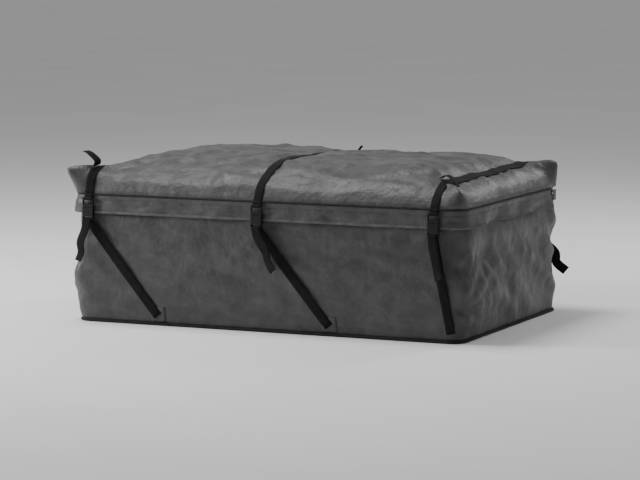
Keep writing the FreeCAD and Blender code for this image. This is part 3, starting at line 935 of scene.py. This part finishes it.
def surface_tree(meshes):
    """Search tree over several meshes together."""
    points, faces = [], []
    for mesh in meshes:
        start = len(points)
        points += [tuple(v.co) for v in mesh.vertices]
        faces += [tuple(start + v for v in p.vertices) for p in mesh.polygons]
    return BVHTree.FromPolygons(points, faces)


def strap_line(tree, x, y_start, z_end):
    """Line over the lid at one X, from the far rim over the crown and down outside the near rim."""
    line = []
    shoulder = LID_NEAR + 0.035
    for y in np.arange(y_start, shoulder, -0.008):
        hit = tree.ray_cast(Vector((x, y, 1)), Vector((0, 0, -1)))[0]
        line.append((x, y, hit.z))
    top = line[-1][2]
    for z in np.arange(top - 0.006, z_end, -0.006):
        hit = tree.ray_cast(Vector((x, -1, z)), Vector((0, 1, 0)))[0]
        line.append((x, hit.y if hit else LID_NEAR, z))
    return np.array(line)


def over_lid(tree, x, y_start, z_end):
    """Middle line of a strap over the lid, and its width direction, which tilts with the cloth."""
    shifts = (-WEB / 2, -WEB / 4, 0, WEB / 4, WEB / 2)
    lines = [strap_line(tree, x + shift, y_start, z_end) for shift in shifts]
    count = min(len(line) for line in lines)
    left, near_left, centre, near_right, right = [line[:count] for line in lines]
    level = (left + right) / 2
    inner = np.stack([centre, (near_left + near_right) / 2, level])
    line = centre.copy()
    line[:, 1] = inner[:, :, 1].min(0)
    line[:, 2] = inner[:, :, 2].max(0)
    line = smooth_path(line, 6)
    side = smooth_path(right - left, 12)
    along = np.gradient(line, axis=0)
    out = np.cross(along, side)
    out /= np.linalg.norm(out, axis=1)[:, None]
    return line + out * 0.0022, side


def lid_straps(tree):
    """Three straps sewn across the lid. Each runs on down behind its buckle."""
    plug_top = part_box("near_middle_plug")[1].z
    for x, name in zip(STRAP_X, STRAP_NAMES):
        line, side = over_lid(tree, x, HALF_Y - 0.004, plug_top - 0.010)
        strap("lid_strap_" + name, line, side, "lid", ["lid_straps"] if name == "front" else [])


def round_bar(x, y, z, side, radius, start, step, count):
    """Arc of points round a buckle's bar, from a start angle in even steps, in degrees."""
    angles = [math.radians(start + step * k) for k in range(count)]
    return [(x, y + side * radius * math.cos(angle), z + radius * math.sin(angle)) for angle in angles]


def plug_webs():
    """Short webbing loops on the plugs."""
    for side_name, side, name, x in BUCKLES:
        node_name = side_name + "_" + name + "_plug"
        low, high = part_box(node_name)
        web_low, web_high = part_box(node_name + "_web")
        bar_y = (low.y + high.y) / 2
        bar_z = high.z - 0.0025
        radius = (web_high.y - web_low.y) / 2 - WEB_THICK / 2
        line = [(x, bar_y - side * radius, web_high.z), (x, bar_y - side * radius, bar_z + 0.004)]
        line += round_bar(x, bar_y, bar_z, side, radius, 180, 25, 13)
        strap("plug_web_" + side_name + "_" + name, line, (1, 0, 0), node_name, [node_name + "_web"])


def far_drops():
    """Far straps down the wall from the hinge seam."""
    low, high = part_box("far_strap_drops")
    for x, name in zip(STRAP_X, STRAP_NAMES):
        y = (low.y + high.y) / 2 + 0.001
        line = [(x, y, z) for z in np.linspace(high.z, low.z, 12)]
        strap("far_drop_" + name, line, (1, 0, 0), "tub", ["far_strap_drops"] if name == "front" else [])


def hinge_pieces():
    """Seam tape along the hinge, and the straps' way over it, arched from the tub's wall up onto the lid and
    attached to neither body.
    """
    y = HALF_Y + 0.0012
    arch = [(y, FAR_TOP - 0.008), (y, FAR_TOP - 0.004), (y + 0.0002, RIM), (y - 0.001, RIM + 0.0035),
            (y - 0.0035, RIM + 0.0075), (y - 0.0065, RIM + 0.0120)]
    xs = np.linspace(-(HALF_X - CORNER), HALF_X - CORNER, COUNT_X + 1)
    points = [(x, row_y, row_z) for row_y, row_z in arch for x in xs]
    tape = new_object("hinge_seam_tape", points, grid_faces(COUNT_X, len(arch) - 1))
    thicken(tape, 0.0012, 0.0)
    subdivide(tape)
    finish_piece(tape, PIPING_LOOK, None)
    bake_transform(tape)
    for x, name in zip(STRAP_X, STRAP_NAMES):
        line = smooth_path([(x, row_y + 0.0022, row_z) for row_y, row_z in arch], 1)
        piece = strap("hinge_strap_" + name, line, (1, 0, 0), None)
        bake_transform(piece)


def curved(controls, steps=10):
    """Smooth path through a few points."""
    controls = [Vector(c) for c in controls]
    padded = [controls[0] * 2 - controls[1], *controls, controls[-1] * 2 - controls[-2]]
    path = []
    for before, start, end, after in zip(padded, padded[1:], padded[2:], padded[3:]):
        for step in range(steps):
            t = step / steps
            path.append(0.5 * (2 * start + (end - before) * t
                               + (2 * before - 5 * start + 4 * end - after) * t ** 2
                               + (3 * start - before - 3 * end + after) * t ** 3))
    return np.array([*path, controls[-1]])


def loose_ends():
    """Tails of webbing that hang from the sockets. Each has its own sideways swing, in metres."""
    swings = {("near", "front"): -0.024, ("near", "middle"): 0.055, ("near", "rear"): 0.022,
              ("far", "front"): 0.012, ("far", "middle"): -0.018, ("far", "rear"): 0.088}
    drop = 0.115
    for side_name, side, name, x in BUCKLES:
        low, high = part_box(side_name + "_buckle_sockets")
        y = high.y + 0.004 if side > 0 else low.y - 0.004
        swing = swings[side_name, name]
        start = Vector((x, y, low.z + 0.006))
        line = curved([start, start + Vector((swing * 0.15, side * 0.003, -0.25 * drop)),
                       start + Vector((swing * 0.6, side * 0.010, -0.55 * drop)),
                       start + Vector((swing * 0.7, side * 0.003, -0.80 * drop)),
                       start + Vector((swing, side * 0.008, -drop))])
        twist = np.linspace(0, 0.4, len(line))
        across = np.column_stack([np.cos(twist), np.sin(twist) * side, twist * 0])
        strap("strap_tail_" + side_name + "_" + name, line, across, "tub")


def lid_loops(tree):
    """Slack webbing on the lid: an end that stands up at the front strap and an arc beside the rear one."""
    front = on_lid(tree, STRAP_X[0] - 0.002, LID_NEAR + 0.045)
    end = curved([front, front + Vector((0.004, -0.004, 0.014)), front + Vector((-0.014, -0.008, 0.032)),
                  front + Vector((-0.030, -0.004, 0.038))])
    strap("loop_front", end, (0.3, 1, 0), "lid")
    rear_a = on_lid(tree, STRAP_X[2] - 0.020, LID_NEAR + 0.10)
    rear_b = on_lid(tree, STRAP_X[2] + 0.030, LID_NEAR + 0.085)
    rise = Vector((0, 0, 0.013))
    arc = curved([rear_a, rear_a * 0.7 + rear_b * 0.3 + rise, rear_a * 0.3 + rear_b * 0.7 + rise, rear_b])
    strap("loop_rear", arc, (0, 1, 0), "lid")
    far = on_lid(tree, STRAP_X[1] + 0.012, HALF_Y - 0.10)
    tail = curved([far, far + Vector((0.003, 0, 0.010)), far + Vector((0.012, 0.002, 0.022))])
    strap("loop_far", tail, (0.2, 1, 0), "lid", width=0.5 * WEB)


def on_lid(tree, x, y):
    """Point just above the lid."""
    hit = tree.ray_cast(Vector((x, y, 1)), Vector((0, 0, -1)))[0]
    return hit + Vector((0, 0, 0.003))


def stitch_run(name, line, outward, body):
    """Row of thread stitches along a line, each a short raised lozenge."""
    line = np.asarray(line)
    distance = distance_along(line)
    pitch = 0.0055
    points, faces = [], []
    for start in np.arange(0, distance[-1] - pitch, pitch):
        ends = [Vector(p) for p in point_at((start, start + 0.62 * pitch), distance, line)]
        out = Vector(point_at((start,), distance, outward)[0]).normalized()
        along = (ends[1] - ends[0]).normalized()
        across = along.cross(out).normalized() * 0.00035
        lift = out * 0.0006
        centre = (ends[0] + ends[1]) / 2
        base = len(points)
        points += [ends[0], ends[1], centre + across, centre - across, centre + lift]
        faces += [(base, base + 2, base + 4), (base + 2, base + 1, base + 4),
                  (base + 1, base + 3, base + 4), (base + 3, base, base + 4),
                  (base, base + 3, base + 2), (base + 1, base + 2, base + 3)]
    piece = new_object(name, points, faces)
    finish_piece(piece, THREAD_LOOK, body, smooth=False)


def flap_stitching():
    """Two rows of stitching: under the rim seam and above the hem."""
    for name, share in (("flap_stitches_upper", 0.30), ("flap_stitches_lower", 0.80)):
        z = RIM - share * (RIM - FLAP_LOW)
        line = flap_edge_path(z, share, 0.0012)
        along = np.gradient(line, axis=0)
        outward = np.column_stack([along[:, 1], -along[:, 0], 0 * along[:, 0]])
        stitch_run(name, line, outward, "lid")


def on_wall(tree, x, z, side):
    """Y of the tub's cloth on the near (-1) or far (1) side."""
    hit = tree.ray_cast(Vector((x, side * 2, z)), Vector((0, -side, 0)))[0]
    return hit.y if hit else side * HALF_Y


def sewn_patches(tree):
    """Square patches under the feet of the tie-downs, each sewn on round its edge."""
    half, steps = 0.020, 10
    for index, (side_name, side, name, _) in enumerate(BUCKLES):
        foot = FEET["tie_down_" + side_name + "_" + name]
        x_high = min(foot.x + half, HALF_X - 0.012)
        xs = np.linspace(foot.x - half, x_high, steps + 1)
        zs = np.linspace(foot.z - 0.016, foot.z + 0.024, steps + 1)
        points = [(x, on_wall(tree, x, z, side) + side * 0.0006, z) for z in zs for x in xs]
        faces = grid_faces(steps, steps)
        if side > 0:
            faces = [tuple(reversed(face)) for face in faces]
        patch = new_object("anchor_patch_" + side_name + "_" + name, points, faces)
        thicken(patch, 0.0012, 1.0)
        finish_piece(patch, FLAP_LOOK, "tub", [] if index else ["anchor_patches"])
        inset = 0.003
        corners = [(xs[0] + inset, zs[0] + inset), (xs[-1] - inset, zs[0] + inset),
                   (xs[-1] - inset, zs[-1] - inset), (xs[0] + inset, zs[-1] - inset)]
        line = [(x, on_wall(tree, x, z, side) + side * 0.0019, z)
                for start, end in zip(corners, corners[1:] + corners[:1])
                for x, z in zip(np.linspace(start[0], end[0], 9), np.linspace(start[1], end[1], 9))]
        outward = np.tile((0, side, 0), (len(line), 1)).astype(float)
        stitch_run("patch_stitches_" + side_name + "_" + name, line, outward, "tub")


def tie_downs(tree):
    """Tie-down straps: a strand from each socket to the base and a wrap round the socket's bar."""
    for side_name, side, name, x in BUCKLES:
        low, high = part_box(side_name + "_buckle_sockets")
        y_bar = (low.y + high.y) / 2
        z_bar = low.z + 0.0025
        radius = 0.0038
        loop = round_bar(x, y_bar, z_bar, side, radius, 200, -28, 11)
        start = np.array([x, y_bar - side * radius, z_bar - 0.003])
        foot = FEET["tie_down_" + side_name + "_" + name]
        end = np.array([foot.x, foot.y + side * 0.001, foot.z])
        share = np.linspace(0, 1, 28)[:, None]
        strand = start * (1 - share) + end * share
        bulge = np.sin(share[:, 0] * math.pi)
        strand[:, 1] += side * 0.006 * bulge
        for point in strand:
            cloth = max(side * on_wall(tree, point[0] + shift, point[2], side)
                        for shift in (-0.014, 0, 0.014))
            point[1] = side * max(side * point[1], cloth + 0.0032)
        strand = smooth_path(strand, 2)
        direction = (end - start) / np.linalg.norm(end - start)
        across = np.cross(direction, (0, 1, 0))
        replaced = [side_name + "_tie_down_straps"] if name == "front" else []
        strap("tie_down_" + side_name + "_" + name, strand, across, "tub", replaced)
        strap("tie_down_wrap_" + side_name + "_" + name, loop, (1, 0, 0), "tub")


def main():
    """Builds every piece."""
    tub_tree = surface_tree([tub_shell()])
    lid_surface = make_lid()
    flap_surface = storm_flap()
    flap_trim()
    base_bead()
    zip_parts()
    tree = surface_tree([lid_surface, flap_surface])
    lid_straps(tree)
    plug_webs()
    far_drops()
    tie_downs(tub_tree)
    sewn_patches(tub_tree)
    hinge_pieces()
    loose_ends()
    lid_loops(tree)
    flap_stitching()
    for side_name, _ in SIDES:
        paint(side_name + "_buckle_sockets", PLASTIC_LOOK)
    for side_name, _, name, _ in BUCKLES:
        paint(side_name + "_" + name + "_plug", PLASTIC_LOOK)
    for end in ("front", "rear"):
        paint(end + "_zip_slider", METAL_LOOK)
        paint(end + "_zip_pull", METAL_LOOK)
    paint("zip_end_tabs", FLAP_LOOK)


def paint(node_name, material):
    """Gives a kept CAD node its material."""
    piece = frame["nodes"][node_name]
    piece.data.materials.clear()
    piece.data.materials.append(material)


# ---- stage ----
def area_light(name, place, target, size, power):
    """Soft square light."""
    lamp = bpy.data.lights.new(name, "AREA")
    lamp.size = size
    lamp.energy = power
    holder = bpy.data.objects.new(name, lamp)
    holder.location = place
    holder.rotation_euler = (Vector(target) - Vector(place)).to_track_quat("-Z", "Y").to_euler()
    bpy.context.scene.collection.objects.link(holder)


def stage():
    """Floor, light and camera."""
    floor = new_object("floor", [(-40, -40, 0), (40, -40, 0), (40, 40, 0), (-40, 40, 0)], [(0, 1, 2, 3)])
    floor.data.materials.append(plain_floor("floor_paint"))
    world = bpy.data.worlds.new("studio")
    bpy.context.scene.world = world
    world.use_nodes = True
    world.node_tree.nodes["Background"].inputs["Color"].default_value = (1, 1, 1, 1)
    world.node_tree.nodes["Background"].inputs["Strength"].default_value = 0.34
    target = (0, 0, 0.2)
    area_light("key", (-1.1, -0.2, 3.6), target, 1.5, 88)
    area_light("graze", (-3.0, -1.5, 1.3), target, 1.0, 80)
    area_light("back", (1.3, 2.5, 2.2), target, 0.8, 28)
    azimuth, elevation, distance = math.radians(24), math.radians(6.5), 8.3
    aim = Vector((0, 0, 0.205))
    level = math.cos(elevation)
    away = Vector((math.sin(azimuth) * level, -math.cos(azimuth) * level, math.sin(elevation)))
    lens = bpy.data.cameras.new("camera")
    lens.lens = 172
    lens.clip_end = 200
    camera = bpy.data.objects.new("camera", lens)
    camera.location = aim + away * distance
    camera.rotation_euler = (-away).to_track_quat("-Z", "Y").to_euler()
    bpy.context.scene.collection.objects.link(camera)
    bpy.context.scene.camera = camera


stage()
main()
